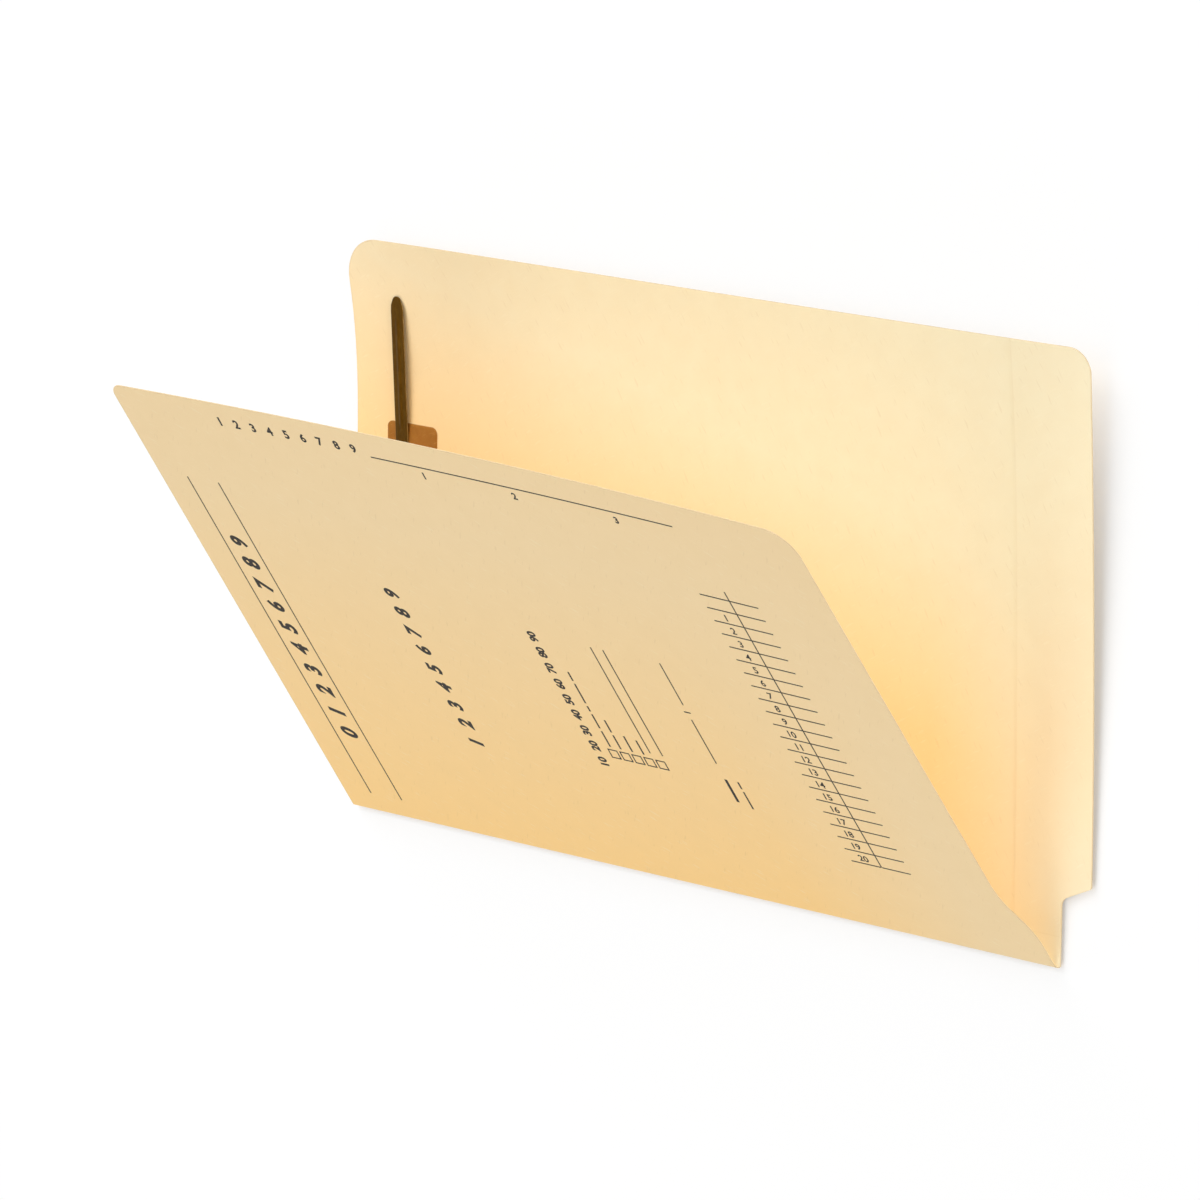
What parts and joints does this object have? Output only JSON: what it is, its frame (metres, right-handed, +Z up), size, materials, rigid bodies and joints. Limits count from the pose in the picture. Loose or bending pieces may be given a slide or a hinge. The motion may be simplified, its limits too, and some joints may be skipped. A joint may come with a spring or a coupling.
{
  "type": "end-tab manila folder",
  "caption": "Legal-size manila card folder with an end tab, a cover that swings on its fold, and a bonded two-prong paper fastener on the inside of the back panel.",
  "frame": {"origin": "middle of the footprint of the folder lying on its back panel, on the surface it lies on", "axes": "+X along the fold towards the end tab, +Y from the fold up the back panel, +Z up"},
  "size_m": [0.3874, 0.2413, 0.152],
  "materials": {
    "manila_card": "matte uncoated card with fine fibre fleck",
    "fibre_pad": "matte orange-brown fibre",
    "fastener_metal": "dark bronze lacquer on steel, satin"
  },
  "bodies": {
    "back": {"back_panel": "manila_card", "tab_reinforcement": "manila_card", "fold_crease": "manila_card", "fastener_strip": "fastener_metal", "fastener_pad": "fibre_pad", "lower_prong": "fastener_metal"},
    "cover": {"front_panel": "manila_card"},
    "upper_prong": {"upper_prong": "fastener_metal"}
  },
  "joints": [
    {"name": "cover_fold", "type": "hinge", "parent": "back", "child": "cover", "pos_m": [0, -0.12004, 0.00061], "axis": [1, 0, 0], "range_deg": [-33.75, 138.25]},
    {"name": "upper_prong_bend", "type": "hinge", "parent": "back", "child": "upper_prong", "pos_m": [-0.16737, 0.03492, 0.00123], "axis": [1, 0, 0], "range_deg": [0, 174.5]}
  ]
}
